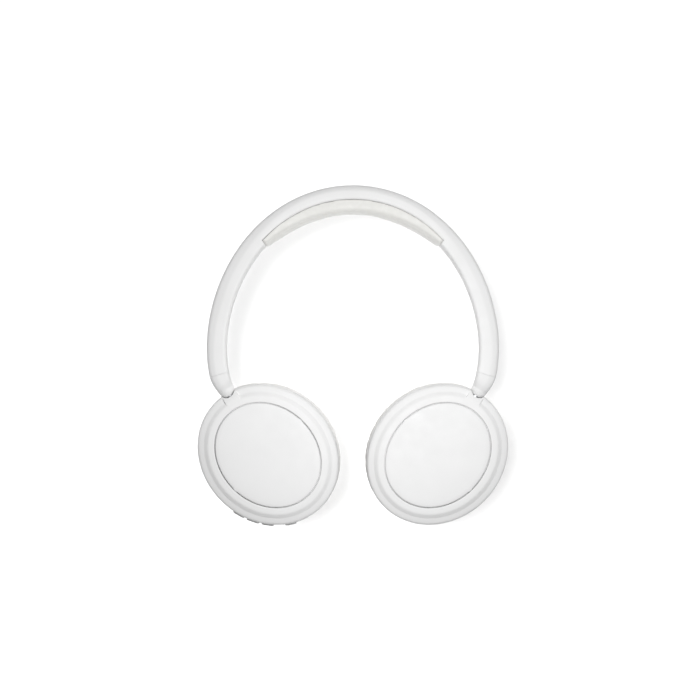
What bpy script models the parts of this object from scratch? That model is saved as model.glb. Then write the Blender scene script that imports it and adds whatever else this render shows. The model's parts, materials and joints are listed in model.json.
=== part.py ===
"""Wireless over-ear headphones, lying flat with both ear cups swivelled open.

+Y runs from the ear cups to the crown of the headband, +Z is up, and both ear pads
rest on z = 0. Lengths are in millimetres until a mesh is written, which is in metres.
Everything is described for the +X side, called right, and mirrored for the left.
Each cup is an oval. Its rings are named by their spread, which is how far they lie
outside the edge of the cap: long and short radius both grow by that much.
"""

import math

import bmesh
import bpy
from mathutils import Vector

MM = 0.001
GAP = 0.3  # between pieces that touch

# Ear cups
CAP_LONG = 31.7  # long and short radius of the gap around the cap
CAP_SHORT = 26.9
CUP_X = 47.4  # cup centre from the middle plane
CUP_Y = -55.2
CUP_LEAN = math.radians(47)  # long axis from +Y, towards the outside
CUP_STEPS = 36
PAD_TOP = 15.6
SHELL_BASE = 17.3
SHELL_TOP = 35.5
CAP_TOP = 36.0

# Stem: the swivel axis, which runs through the cup's centre at this height
STEM_Z = 28.5
STEM_LEAN = math.radians(33)
TIP_AT = 43.5  # from the cup's centre to the middle of the arm's ball-shaped tip
TIP_RADIUS = 4.6
NOTCH_RADIUS = 5.1  # of the hollow in the cup that the tip sits in
TILT_AT = 44.5  # from the cup's centre to the tilt pin
SPINDLE_RADIUS = 1.75
SPINDLE_FOOT = 30.4
BORE_RADIUS = 2.4  # leaves the spindle room to tilt
NECK_HALF_WIDTH = 4.4
NECK_TOP = 6.8  # above the stem axis

# Headband, in polar form about a point on the middle plane
BAND_Y = 11.9
BAND_RADIUS = (83.8, -5.93, 2.93, -0.352)  # terms of an even polynomial in the angle
SEAM_ANGLE = math.radians(106.5)
CUSHION_ANGLE = math.radians(44)
CROWN_DEPTH = 8.5  # radial thickness of the hard band
ARM_DEPTH = 11.0
CROWN_HALF_WIDTH = 12.5
ARM_HALF_WIDTH = 7.0
WALL = 1.7
SPRING_HALF_WIDTH = 5.2
CUSHION_MIDDLE = 7.7
CUSHION_END = 4.2
CUSHION_HALF_WIDTH = 11.2

# Slider
SLIDER_X = 74.8
SLIDER_LOW = -14.0
SLIDER_HIGH = 21.0
SLIDER_HALF_WIDTH = 4.0
SLIDER_HALF_THICK = 0.7

# Angles round a cup, from its long axis towards its short axis
BUTTON_ARCS = {
    "power_button": (146, 155),
    "volume_up_button": (127, 137),
    "play_button": (114, 125),
    "volume_down_button": (101, 112),
}
SCREW_ANGLES = (70, 215, 305)
SOCKET_ANGLE = 178
LIGHT_ANGLE = 164
MICROPHONE_ANGLE = 47
BUTTON_Z = 23.5
BUTTON_HALF_HEIGHT = 1.9

CUP = Vector((CUP_X, CUP_Y, 0))
LONG = Vector((math.sin(CUP_LEAN), math.cos(CUP_LEAN), 0))
SHORT = Vector((LONG.y, -LONG.x, 0))
STEM = Vector((math.sin(STEM_LEAN), math.cos(STEM_LEAN), 0))
UP = Vector((0, 0, 1))


# --- Scene helpers -----------------------------------------------------------


def clear_scene():
    """Remove everything the scene starts with."""
    for thing in list(bpy.data.objects):
        bpy.data.objects.remove(thing, do_unlink=True)


def make_material(name, colour, roughness, metallic=0.0):
    """A plain Principled material."""
    material = bpy.data.materials.new(name)
    material.use_nodes = True
    shader = material.node_tree.nodes["Principled BSDF"]
    shader.inputs["Base Color"].default_value = (*colour, 1)
    shader.inputs["Roughness"].default_value = roughness
    shader.inputs["Metallic"].default_value = metallic
    return material


class Body:
    """A group of pieces that moves as one, with an empty on its joint's axis."""

    def __init__(self, name, point, parent=None):
        self.point = point
        self.empty = bpy.data.objects.new(name, None)
        self.empty.empty_display_size = 5 * MM
        bpy.context.collection.objects.link(self.empty)
        offset = point
        if parent:
            self.empty.parent = parent.empty
            offset = point - parent.point
        self.empty.location = offset * MM


def mirrored(point, side):
    """The point on the +X side (side 1) or the -X side (side -1)."""
    return Vector((side * point.x, point.y, point.z))


def fill(mesh, solids, side, origin):
    """Write lofted solids into a mesh. Each solid is (rings, ends_meet)."""
    made = bmesh.new()
    for rings, ends_meet in solids:
        layers = []
        for ring in rings:
            layer = []
            for point in ring:
                layer.append(made.verts.new((mirrored(point, side) - origin) * MM))
            layers.append(layer)
        pairs = list(zip(layers, layers[1:]))
        if ends_meet:
            pairs.append((layers[-1], layers[0]))
        else:
            made.faces.new(layers[0])
            made.faces.new(layers[-1])
        for low, high in pairs:
            for i, corner in enumerate(low):
                j = (i + 1) % len(low)
                made.faces.new((corner, low[j], high[j], high[i]))
    bmesh.ops.recalc_face_normals(made, faces=made.faces)
    made.to_mesh(mesh)
    made.free()


def piece(name, solids, material, body, side=1):
    """A named piece on a body, smooth where its faces turn gently."""
    mesh = bpy.data.meshes.new(name)
    fill(mesh, solids, side, body.point)
    mesh.materials.append(material)
    mesh.shade_smooth()
    mesh.set_sharp_from_angle(angle=math.radians(35))
    made = bpy.data.objects.new(name, mesh)
    bpy.context.collection.objects.link(made)
    made.parent = body.empty
    return made


def carve(target, label, solids, body, side, operation="DIFFERENCE"):
    """Cut the solids from a piece, or join them to it."""
    mesh = bpy.data.meshes.new(target.name + label)
    fill(mesh, solids, side, body.point)
    cutter = bpy.data.objects.new(target.name + label, mesh)
    bpy.context.collection.objects.link(cutter)
    cutter.parent = body.empty
    cutter.hide_render = True
    cutter.display_type = "WIRE"
    change = target.modifiers.new(label.strip("_"), "BOOLEAN")
    change.operation = operation
    change.object = cutter
    change.solver = "EXACT"


# --- Shapes, as (rings, ends_meet) -------------------------------------------


def ellipse(long_radius, short_radius, z, steps=CUP_STEPS):
    """A ring of points about a cup's centre."""
    ring = []
    for i in range(steps):
        turn = 2 * math.pi * i / steps
        across = LONG * long_radius * math.cos(turn) + SHORT * short_radius * math.sin(turn)
        ring.append(CUP + across + UP * z)
    return ring


def oval(spread, z):
    """A ring that follows the cap's edge at this spread."""
    return ellipse(CAP_LONG + spread, CAP_SHORT + spread, z)


def oval_ring(profile):
    """A ring-shaped solid from a closed profile of (spread, z)."""
    return [oval(spread, z) for spread, z in profile], True


def round_ring(profile, steps=22):
    """A turned ring about the cup's centre from a closed profile of (radius, z)."""
    return [ellipse(radius, radius, z, steps) for radius, z in profile], True


def round_stack(profile, steps=22):
    """A turned solid about the cup's centre, flat at both ends."""
    return [ellipse(radius, radius, z, steps) for radius, z in profile], False


def tapered_rod(start, direction, stations, sides=14):
    """A round rod along a direction, with (distance, radius) stations."""
    axis = direction.normalized()
    across = axis.cross(UP)
    if across.length < 0.1:
        across = axis.cross(Vector((1, 0, 0)))
    across.normalize()
    other = axis.cross(across)
    rings = []
    for distance, radius in stations:
        ring = []
        for i in range(sides):
            turn = 2 * math.pi * (i + 0.5) / sides
            spoke = across * math.cos(turn) + other * math.sin(turn)
            ring.append(start + axis * distance + spoke * radius)
        rings.append(ring)
    return rings, False


def rod(start, direction, length, radius, sides=14):
    """A plain round rod."""
    return tapered_rod(start, direction, ((0, radius), (length, radius)), sides)


def block(centre, along, half_along, half_across, half_height):
    """A box with one pair of sides square to a horizontal direction."""
    forward = along.normalized()
    sideways = forward.cross(UP)
    rings = []
    for height in (-half_height, half_height):
        ring = []
        for a, b in ((-1, -1), (1, -1), (1, 1), (-1, 1)):
            level = centre + forward * a * half_along + sideways * b * half_across
            ring.append(level + UP * height)
        rings.append(ring)
    return rings, False


def rim_point(angle, spread, z):
    """A point on the cup's oval in the direction of an angle from the long axis."""
    long_radius = CAP_LONG + spread
    short_radius = CAP_SHORT + spread
    turn = math.radians(angle)
    reach = long_radius * short_radius / math.hypot(
        short_radius * math.cos(turn), long_radius * math.sin(turn)
    )
    return CUP + LONG * reach * math.cos(turn) + SHORT * reach * math.sin(turn) + UP * z


def rim_normal(angle):
    """The direction straight out of the cup's side wall at an angle."""
    near = rim_point(angle - 1, 10, 0)
    far = rim_point(angle + 1, 10, 0)
    return (near - far).cross(UP).normalized()


def rim_block(first, last, inner, outer, low, high, steps=4):
    """A block that follows the cup's side wall between two angles."""
    rings = []
    for i in range(steps + 1):
        angle = first + (last - first) * i / steps
        rings.append(
            [
                rim_point(angle, inner, low),
                rim_point(angle, outer, low),
                rim_point(angle, outer, high),
                rim_point(angle, inner, high),
            ]
        )
    return rings, False


def on_stem(distance, sideways=0.0, rise=0.0):
    """A point on the stem axis, at a distance from the cup's centre."""
    across = Vector((STEM.y, -STEM.x, 0))
    return CUP + STEM * distance + across * sideways + UP * (STEM_Z + rise)


# --- Headband geometry -------------------------------------------------------


def band_radius(angle):
    """Outer radius of the headband at an angle from the crown."""
    return sum(term * angle ** (2 * power) for power, term in enumerate(BAND_RADIUS))


def band_point(angle, inward, rise):
    """A point a given depth inside the headband's outer line."""
    radius = band_radius(angle) - inward
    return Vector(
        (radius * math.sin(angle), BAND_Y + radius * math.cos(angle), STEM_Z + rise)
    )


def band_half_width(angle):
    """Half of the band's width, which narrows smoothly from the crown to the arms."""
    share = min(abs(angle) / SEAM_ANGLE, 1)
    ease = share * share * (3 - 2 * share)
    return CROWN_HALF_WIDTH + (ARM_HALF_WIDTH - CROWN_HALF_WIDTH) * ease


def band_depth(angle):
    """Radial thickness of the hard band, thinner where the cushion is."""
    return CROWN_DEPTH if abs(angle) < CUSHION_ANGLE else ARM_DEPTH


def band_angles(limit, steps):
    """Stations from one end to the other, doubled at both ends of the cushion."""
    angles = [-limit + 2 * limit * i / steps for i in range(steps + 1)]
    angles = [a for a in angles if abs(abs(a) - CUSHION_ANGLE) > math.radians(2)]
    for side in (-1, 1):
        for nudge in (-1, 1):
            angles.append(side * CUSHION_ANGLE + nudge * math.radians(0.2))
    return sorted(angles)


def outer_curve(depth, half_width):
    """Half of the band's outer surface as (depth, rise), from the flat side inwards."""
    return [
        (depth, half_width),
        (4.6, half_width),
        (1.7, 0.87 * half_width),
        (0.4, 0.60 * half_width),
    ]


def channel_section(angle):
    """The C-shaped section of the outer shell, open towards the head."""
    depth = band_depth(angle)
    half_width = band_half_width(angle)
    outside = outer_curve(depth, half_width)
    inside = [
        (depth, half_width - WALL),
        (5.4, half_width - WALL),
        (WALL + 1.0, 0.62 * half_width),
    ]
    loop = outside + [(0, 0)] + [(d, -r) for d, r in reversed(outside)]
    loop += [(d, -r) for d, r in inside] + [(WALL + 0.1, 0)]
    loop += [(d, r) for d, r in reversed(inside)]
    return [band_point(angle, d, r) for d, r in loop]


def strip_section(angle, near, far, half_width):
    """A rectangular section between two depths."""
    corners = ((near, half_width), (near, -half_width), (far, -half_width), (far, half_width))
    return [band_point(angle, d, r) for d, r in corners]


# --- Pieces of the headband --------------------------------------------------


def build_headband(body, mats):
    """Outer shell, inner liner, steel spring and crown cushion."""
    angles = band_angles(SEAM_ANGLE, 40)
    shell = [channel_section(angle) for angle in angles]
    piece("headband_shell", [(shell, False)], mats["plastic"], body)

    liner = []
    for angle in angles:
        far = band_depth(angle)
        half_width = band_half_width(angle) - WALL - GAP
        liner.append(strip_section(angle, far - 1.5, far, half_width))
    piece("headband_liner", [(liner, False)], mats["plastic"], body)

    spring_limit = math.radians(66)
    spring = []
    for i in range(25):
        angle = -spring_limit + 2 * spring_limit * i / 24
        spring.append(strip_section(angle, 3.8, 4.6, SPRING_HALF_WIDTH))
    piece("headband_spring", [(spring, False)], mats["steel"], body)

    limit = CUSHION_ANGLE - math.radians(0.6)
    cushion = []
    for i in range(21):
        angle = -limit + 2 * limit * i / 20
        sag = CUSHION_MIDDLE + (CUSHION_END - CUSHION_MIDDLE) * (angle / limit) ** 2
        near = CROWN_DEPTH + GAP
        width = CUSHION_HALF_WIDTH
        half = [(near, width), (near + 0.55 * sag, width), (near + 0.9 * sag, 0.8 * width)]
        loop = half + [(near + sag, 0)] + [(d, -r) for d, r in reversed(half)]
        cushion.append([band_point(angle, d, r) for d, r in loop])
    piece("headband_cushion", [(cushion, False)], mats["leatherette"], body)


# --- Pieces of one arm end ---------------------------------------------------


def arm_end_ring(centre, forward, thick, width, roundness, points=20):
    """A section that goes from the band's shape to a circle as roundness goes to 1."""
    outward = forward.cross(UP).normalized()
    if outward.x < 0:
        outward.negate()
    ring = []
    for i in range(points):
        turn = 2 * math.pi * (i + 0.5) / points
        c, s = math.cos(turn), math.sin(turn)
        power = 1 if c > 0 else roundness + (1 - roundness) * 0.3
        x = math.copysign(abs(c) ** power, c) * thick
        power = roundness + (1 - roundness) * 0.55
        z = math.copysign(abs(s) ** power, s) * width
        ring.append(centre + outward * x + UP * z)
    return ring


def ball_radius(distance, radius):
    """Radius of the slice of a ball at a distance from its middle."""
    return math.sqrt(max(radius * radius - distance * distance, 0))


def arm_end_rings():
    """Sections from the seam to the ball-shaped tip, along a cubic curve."""
    start = band_point(SEAM_ANGLE + GAP / band_radius(SEAM_ANGLE), ARM_DEPTH / 2, 0)
    finish = on_stem(TIP_AT)
    reach = (start - finish).length / 3
    seam_turn = SEAM_ANGLE - math.radians(90)
    leave = Vector((-math.sin(seam_turn), -math.cos(seam_turn), 0))
    handles = (start, start + leave * reach, finish + STEM * reach, finish)
    shape = (
        # share of the way, half thickness, half width, roundness
        (0.00, ARM_DEPTH / 2, ARM_HALF_WIDTH, 0.0),
        (0.25, 5.40, 6.8, 0.15),
        (0.50, 5.20, 6.4, 0.35),
        (0.70, 4.95, 5.9, 0.60),
        (0.86, 4.75, 5.3, 0.85),
        (1.00, TIP_RADIUS, TIP_RADIUS, 1.0),
    )
    rings = []
    for share, thick, width, roundness in shape:
        rest = 1 - share
        weights = (rest**3, 3 * rest**2 * share, 3 * rest * share**2, share**3)
        centre = sum((h * w for h, w in zip(handles, weights)), Vector())
        slopes = (
            -(rest**2),
            rest**2 - 2 * rest * share,
            2 * rest * share - share**2,
            share**2,
        )
        forward = sum((h * w for h, w in zip(handles, slopes)), Vector())
        rings.append(arm_end_ring(centre, forward, thick, width, roundness))
    for distance in (1.6, 2.9, 3.8, 4.3, 4.55):
        radius = ball_radius(distance, TIP_RADIUS)
        rings.append(arm_end_ring(finish - STEM * distance, -STEM, radius, radius, 1.0))
    return rings


def build_arm_end(side, name, body, mats):
    """The lower end of the arm: cap, slider strip and tilt pin."""
    end = piece(name + "_arm_end", [(arm_end_rings(), False)], mats["plastic"], body, side)

    pin = on_stem(TILT_AT)
    slot_middle = Vector((SLIDER_X, (SLIDER_LOW + 10) / 2, STEM_Z))
    slot_half = (10 - SLIDER_LOW) / 2 + GAP
    bore = rod(on_stem(TIP_AT - 6), STEM, TILT_AT - TIP_AT + 6, BORE_RADIUS)
    carve(end, "_bore", [bore], body, side)
    carve(end, "_eye_room", [rod(pin - UP * 3.0, UP, 6.0, 3.3, 18)], body, side)
    carve(end, "_pin_hole", [rod(pin - UP * 4.5, UP, 9.0, 1.1, 12)], body, side)
    slot = block(
        slot_middle, Vector((0, 1, 0)), slot_half, SLIDER_HALF_THICK + GAP, SLIDER_HALF_WIDTH + GAP
    )
    carve(end, "_slider_slot", [slot], body, side)

    middle = Vector((SLIDER_X, (SLIDER_LOW + SLIDER_HIGH) / 2, STEM_Z))
    half = (SLIDER_HIGH - SLIDER_LOW) / 2
    strip = block(middle, Vector((0, 1, 0)), half, SLIDER_HALF_THICK, SLIDER_HALF_WIDTH)
    piece(name + "_slider_strip", [strip], mats["steel"], body, side)
    piece(name + "_tilt_pin", [rod(pin - UP * 4.2, UP, 8.4, 0.8, 12)], mats["steel"], body, side)


def build_detent(side, name, body, mats):
    """The leaf spring in the arm that clicks against the slider strip."""
    centre = Vector((SLIDER_X + SLIDER_HALF_THICK + 0.7, 6, STEM_Z))
    leaf = block(centre, Vector((0, 1, 0)), 4.0, 0.3, 3.0)
    piece(name + "_detent_spring", [leaf], mats["steel"], body, side)


def build_spindle(side, name, body, mats):
    """The swivel spindle, with the tilt pin's eye at its top and a clip at its foot."""
    pin = on_stem(TILT_AT)
    foot = on_stem(SPINDLE_FOOT)
    spindle = piece(
        name + "_swivel_spindle",
        [rod(foot, STEM, TILT_AT - SPINDLE_FOOT, SPINDLE_RADIUS, 16)],
        mats["steel"], body, side,
    )
    carve(spindle, "_eye", [rod(pin - UP * 2.6, UP, 5.2, 2.9, 18)], body, side, "UNION")
    carve(spindle, "_pin_hole", [rod(pin - UP * 5, UP, 10, 1.0, 12)], body, side)
    outer = rod(on_stem(31.6), STEM, 0.8, 3.4, 16)[0]
    inner = rod(on_stem(31.6), STEM, 0.8, SPINDLE_RADIUS + 0.25, 16)[0]
    clip = [outer[0], outer[1], inner[1], inner[0]]
    piece(name + "_spindle_clip", [(clip, True)], mats["steel"], body, side)


# --- Pieces of one ear cup ---------------------------------------------------


def screw_point(angle, z):
    """Where a baffle screw stands."""
    return rim_point(angle, 2.2, z)


def build_cup_shell(side, name, body, mats):
    """The housing: flange, groove, sloping wall and raised bezel round the cap."""
    rim = ((0.35, 35.0), (0.9, SHELL_TOP), (3.7, 35.3), (4.3, 34.95))
    groove_and_flange = ((6.0, 33.75), (6.5, 33.6), (7.0, 33.6), (9.2, 32.8), (9.9, 31.6))
    wall = ((10.2, 29.0), (10.2, SHELL_BASE), (8.3, SHELL_BASE), (8.3, 29.6))
    ceiling = ((7.4, 31.0), (4.6, 31.9), (2.8, 32.3))
    ledge = ((-2.4, 32.3), (-2.4, 33.2), (0.35, 33.2))
    profile = rim + groove_and_flange + wall + ceiling + ledge
    shell = piece(name + "_cup_shell", [oval_ring(profile)], mats["plastic"], body, side)

    bosses = [rod(screw_point(a, 20.4), UP, 12.3, 2.4, 12) for a in SCREW_ANGLES]
    carve(shell, "_bosses", bosses, body, side, "UNION")
    neck_rings = []
    for distance, top in ((33.2, NECK_TOP), (36.2, NECK_TOP), (40.0, NECK_TOP - 1.6)):
        half = NECK_HALF_WIDTH
        corners = ((-half, -5.2), (half, -5.2), (half, top - 0.6), (half - 0.6, top))
        corners += ((0.6 - half, top), (-half, top - 0.6))
        neck_rings.append([on_stem(distance, a, b) for a, b in corners])
    carve(shell, "_neck", [(neck_rings, False)], body, side, "UNION")
    hollow = [(NOTCH_RADIUS - d, ball_radius(d, NOTCH_RADIUS)) for d in (5.0, 4.7, 4.1, 3.2, 1.8, 0)]
    hollow += [(NOTCH_RADIUS + 2.5, NOTCH_RADIUS)]
    notch = tapered_rod(on_stem(TIP_AT - NOTCH_RADIUS), STEM, hollow, 24)
    carve(shell, "_notch", [notch], body, side)
    holes = [rod(on_stem(28), STEM, 14, SPINDLE_RADIUS + 0.25, 16)]
    holes += [rod(screw_point(a, 18), UP, 9.5, 1.3, 10) for a in SCREW_ANGLES]
    carve(shell, "_holes", holes, body, side)
    if side < 0:
        windows = []
        for first, last in BUTTON_ARCS.values():
            spare = math.degrees(0.35 / 40)
            low = BUTTON_Z - BUTTON_HALF_HEIGHT - 0.35
            high = BUTTON_Z + BUTTON_HALF_HEIGHT + 0.35
            windows.append(rim_block(first - spare, last + spare, 6.5, 12.0, low, high))
        socket = rim_point(SOCKET_ANGLE, 9, BUTTON_Z)
        windows.append(block(socket, rim_normal(SOCKET_ANGLE), 4, 4.9, 1.9))
        light = rim_point(LIGHT_ANGLE, 6.5, BUTTON_Z)
        windows.append(rod(light, rim_normal(LIGHT_ANGLE), 5, 0.9, 10))
        sound = rim_point(MICROPHONE_ANGLE, 6.5, BUTTON_Z)
        windows.append(rod(sound, rim_normal(MICROPHONE_ANGLE), 5, 0.6, 8))
        carve(shell, "_windows", windows, body, side)


def build_cap(side, name, body, mats):
    """The flat cap that closes the outside of the cup."""
    profile = ((-3.0, 33.5), (-0.15, 33.5), (-0.15, 35.0), (-0.7, 35.4), (-3.5, 35.7), (-9.0, CAP_TOP))
    rings = [oval(spread, z) for spread, z in profile]
    piece(name + "_cup_cap", [(rings, False)], mats["cap"], body, side)


def build_pad(side, name, body, mats):
    """Soft ear pad and the hard ring that clips it on."""
    profile = (
        (-3.2, 0.0), (6.6, 0.0), (9.8, 1.6), (11.1, 5.2), (11.3, 10.5), (10.4, 14.6),
        (8.8, PAD_TOP), (-4.2, PAD_TOP), (-6.6, 12.8), (-7.0, 7.0), (-5.9, 2.0),
    )
    piece(name + "_ear_pad", [oval_ring(profile)], mats["leatherette"], body, side)
    ring = ((-4.4, 15.9), (9.3, 15.9), (9.3, 17.0), (-4.4, 17.0))
    piece(name + "_pad_ring", [oval_ring(ring)], mats["dark"], body, side)
    cover = [oval(-4.8, 15.9), oval(-4.8, 16.6)]
    piece(name + "_driver_cover", [(cover, False)], mats["cloth"], body, side)


def build_driver(side, name, body, mats):
    """Baffle with its screws, and the 40 mm driver that it carries."""
    rings = [oval(7.7, SHELL_BASE), oval(7.7, 20.0)]
    rings += [ellipse(20.4, 20.4, 20.0), ellipse(20.4, 20.4, SHELL_BASE)]
    baffle = piece(name + "_baffle", [(rings, True)], mats["dark"], body, side)
    sinks = [rod(screw_point(a, 16), UP, 2.8, 2.6, 12) for a in SCREW_ANGLES]
    shanks = [rod(screw_point(a, 16), UP, 5, 1.3, 10) for a in SCREW_ANGLES]
    carve(baffle, "_sinks", sinks, body, side)
    carve(baffle, "_shanks", shanks, body, side)
    for number, angle in enumerate(SCREW_ANGLES, 1):
        low = screw_point(angle, 17.5)
        screw = tapered_rod(low, UP, ((0, 2.2), (0.9, 2.2), (1.0, 1.0), (8.5, 1.0)), 10)
        piece(f"{name}_baffle_screw_{number}", [screw], mats["steel"], body, side)

    frame = (
        (19.0, 17.5), (20.0, 17.5), (20.0, 20.8), (15.0, 22.8), (11.3, 22.8),
        (11.3, 21.9), (14.6, 21.9), (19.0, 20.0),
    )
    piece(name + "_driver_frame", [round_ring(frame)], mats["dark"], body, side)
    cone = (
        (0.8, 18.0), (9.0, 18.5), (13.0, 19.0), (18.6, 17.8),
        (18.6, 18.2), (13.0, 19.5), (9.0, 19.0), (0.8, 18.5),
    )
    piece(name + "_diaphragm", [round_stack(cone)], mats["film"], body, side)
    magnet = round_stack(((10.8, 20.6), (10.8, 25.2), (10.2, 25.8)), 24)
    piece(name + "_driver_magnet", [magnet], mats["steel"], body, side)


def build_controls(name, body, mats):
    """The left cup's buttons, their switch board, socket, light, microphone and main board."""
    side = -1
    for label, (first, last) in BUTTON_ARCS.items():
        middle = rim_point((first + last) / 2, 10.2, BUTTON_Z)
        own = Body(f"{name}_{label}_axis", mirrored(middle, side), body)
        low = BUTTON_Z - BUTTON_HALF_HEIGHT
        high = BUTTON_Z + BUTTON_HALF_HEIGHT
        cap = rim_block(first, last, 7.0, 10.9, low, high, 3)
        piece(f"{name}_{label}", [cap], mats["plastic"], own, side)

    strip = rim_block(100, 156, 4.9, 5.9, 21.6, 25.4, 12)
    piece(name + "_switch_board", [strip], mats["board"], body, side)
    normal = rim_normal(SOCKET_ANGLE)
    middle = rim_point(SOCKET_ANGLE, 10.0, BUTTON_Z) - normal * 3.2
    can = block(middle, normal, 3.2, 4.5, 1.6)
    socket = piece(name + "_charging_socket", [can], mats["steel"], body, side)
    mouth = block(middle + normal * 1.2, normal, 3.2, 4.1, 1.2)
    carve(socket, "_mouth", [mouth], body, side)
    glow = rod(rim_point(LIGHT_ANGLE, 6.9, BUTTON_Z), rim_normal(LIGHT_ANGLE), 3.2, 0.6, 10)
    piece(name + "_light_pipe", [glow], mats["film"], body, side)
    behind = rim_point(MICROPHONE_ANGLE, 5.4, BUTTON_Z)
    capsule = rod(behind, rim_normal(MICROPHONE_ANGLE), 1.6, 1.8, 12)
    piece(name + "_microphone", [capsule], mats["steel"], body, side)
    board = block(CUP + UP * 29.4, LONG, 17, 11, 0.6)
    piece(name + "_circuit_board", [board], mats["board"], body, side)


def build_side(side, name, head, mats):
    """One arm end and one ear cup, with the bodies that carry them."""
    seam = mirrored(band_point(SEAM_ANGLE, ARM_DEPTH / 2, 0), side)
    pin = mirrored(on_stem(TILT_AT), side)
    centre = mirrored(on_stem(0), side)
    slider = Body(name + "_slider_axis", seam, head)
    tilt = Body(name + "_tilt_axis", pin, slider)
    swivel = Body(name + "_swivel_axis", centre, tilt)
    build_detent(side, name, head, mats)
    build_arm_end(side, name, slider, mats)
    build_spindle(side, name, tilt, mats)
    build_cup_shell(side, name, swivel, mats)
    build_cap(side, name, swivel, mats)
    build_pad(side, name, swivel, mats)
    build_driver(side, name, swivel, mats)
    if side < 0:
        build_controls(name, swivel, mats)
    else:
        battery = block(CUP + UP * 29.3, LONG, 16, 10.5, 2.2)
        piece(name + "_battery", [battery], mats["foil"], swivel, side)


def main():
    clear_scene()
    mats = {
        "plastic": make_material("white_plastic", (0.86, 0.87, 0.87), 0.42),
        "cap": make_material("cap_plastic", (0.84, 0.85, 0.86), 0.38),
        "leatherette": make_material("white_leatherette", (0.82, 0.83, 0.81), 0.6),
        "cloth": make_material("driver_cloth", (0.30, 0.31, 0.32), 0.9),
        "dark": make_material("inner_plastic", (0.75, 0.76, 0.76), 0.5),
        "steel": make_material("steel", (0.62, 0.63, 0.65), 0.3, 1.0),
        "film": make_material("clear_film", (0.80, 0.80, 0.74), 0.25),
        "board": make_material("circuit_board", (0.06, 0.24, 0.13), 0.45),
        "foil": make_material("battery_foil", (0.70, 0.71, 0.72), 0.35, 1.0),
    }
    head = Body("headband_axis", Vector())
    build_headband(head, mats)
    for side, name in ((-1, "left"), (1, "right")):
        build_side(side, name, head, mats)


main()
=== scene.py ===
"""White wireless over-ear headphones, lying flat on their ear pads.

Lengths are in millimetres and become metres when a mesh is written. Pieces are made
for the +X side, called right, and mirrored for the left. A cup's rings are named by
their spread: how far they lie outside the edge of the oval cap.
"""

import json

import bpy
import numpy as np
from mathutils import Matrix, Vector


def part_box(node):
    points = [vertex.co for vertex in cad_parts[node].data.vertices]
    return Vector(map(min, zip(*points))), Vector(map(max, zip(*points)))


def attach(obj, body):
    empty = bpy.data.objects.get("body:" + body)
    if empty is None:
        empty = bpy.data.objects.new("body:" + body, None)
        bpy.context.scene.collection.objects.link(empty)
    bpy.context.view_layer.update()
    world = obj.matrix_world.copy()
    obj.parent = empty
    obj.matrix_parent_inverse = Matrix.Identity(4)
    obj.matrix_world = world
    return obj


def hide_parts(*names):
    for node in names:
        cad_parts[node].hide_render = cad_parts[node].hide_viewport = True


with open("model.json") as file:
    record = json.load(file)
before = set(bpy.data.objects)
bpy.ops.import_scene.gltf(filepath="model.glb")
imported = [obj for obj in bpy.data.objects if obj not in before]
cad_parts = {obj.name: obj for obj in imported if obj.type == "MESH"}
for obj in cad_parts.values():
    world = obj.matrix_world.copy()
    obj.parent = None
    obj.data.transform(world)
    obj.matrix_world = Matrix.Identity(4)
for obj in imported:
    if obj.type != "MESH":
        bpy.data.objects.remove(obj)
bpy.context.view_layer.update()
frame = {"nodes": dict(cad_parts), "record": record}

MM = 0.001
SIDES = (("left", -1), ("right", 1))


def middle(node):
    """The middle of a node's box, in millimetres."""
    low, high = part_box(node)
    return (np.array(low) + np.array(high)) / 2 / MM


# --- Driving dimensions, which the frame's nodes fix ---------------------------

CUP = middle("right_cup_cap") * (1, 1, 0)
LEAN = np.radians(47)
LONG = np.array((np.sin(LEAN), np.cos(LEAN), 0))
SHORT = np.array((LONG[1], -LONG[0], 0))
UP = np.array((0, 0, 1.0))
CAP_LONG, CAP_SHORT = 31.7, 26.9
CAP_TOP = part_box("right_cup_cap")[1][2] / MM

STEM_LEAN = np.radians(33)
STEM = np.array((np.sin(STEM_LEAN), np.cos(STEM_LEAN), 0))
STEM_SIDE = np.array((STEM[1], -STEM[0], 0))
STEM_Z = middle("headband_shell")[2]
TIP_AT = 43.5
TIP_RADIUS = 4.6
NOTCH_RADIUS = 5.0
TIP_GAP = 0.13
BORE_RADIUS = 2.25
SEAM_GAP = 0.1
TILT_AT = 44.5
NECK_HALF_WIDTH = 4.4
NECK_TOP = 6.8

BAND_Y = 11.9
BAND_RADIUS = (83.8, -5.93, 2.93, -0.352)
SEAM = np.radians(106.5)
CUSHION_END = np.radians(44)
CROWN_DEPTH, ARM_DEPTH = 8.5, 11.0
CROWN_WIDTH, ARM_WIDTH = 12.5, 7.0
WALL = 1.7
SLIDER_X = middle("right_slider_strip")[0]

BUTTONS = {
    "power_button": (146, 155),
    "volume_up_button": (127, 137),
    "play_button": (114, 125),
    "volume_down_button": (101, 112),
}
BUTTON_Z = middle("left_play_button")[2]
BUTTON_OUT = 11.5
SOCKET_ANGLE, LIGHT_ANGLE, MICROPHONE_ANGLE = 178, 164, 47

# --- Lamps -----------------------------------------------------------------------

SKY = 0.15
LAMP_SIZE = 0.1
KEY_POWER = 1.14
KEY_AT = (0.03, 0.01, 0.39)
SIDE_POWER = 0.006
SIDE_AT = (-0.02, -0.03, 0.17)
CROWN_POWER = 0.32
WASH_POWER = 1.3
OVERHEAD_POWER = 1.85


# --- Mesh tools ----------------------------------------------------------------


def link(name, mesh):
    """An object for a mesh, at the origin."""
    made = bpy.data.objects.new(name, mesh)
    bpy.context.collection.objects.link(made)
    return made


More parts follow.
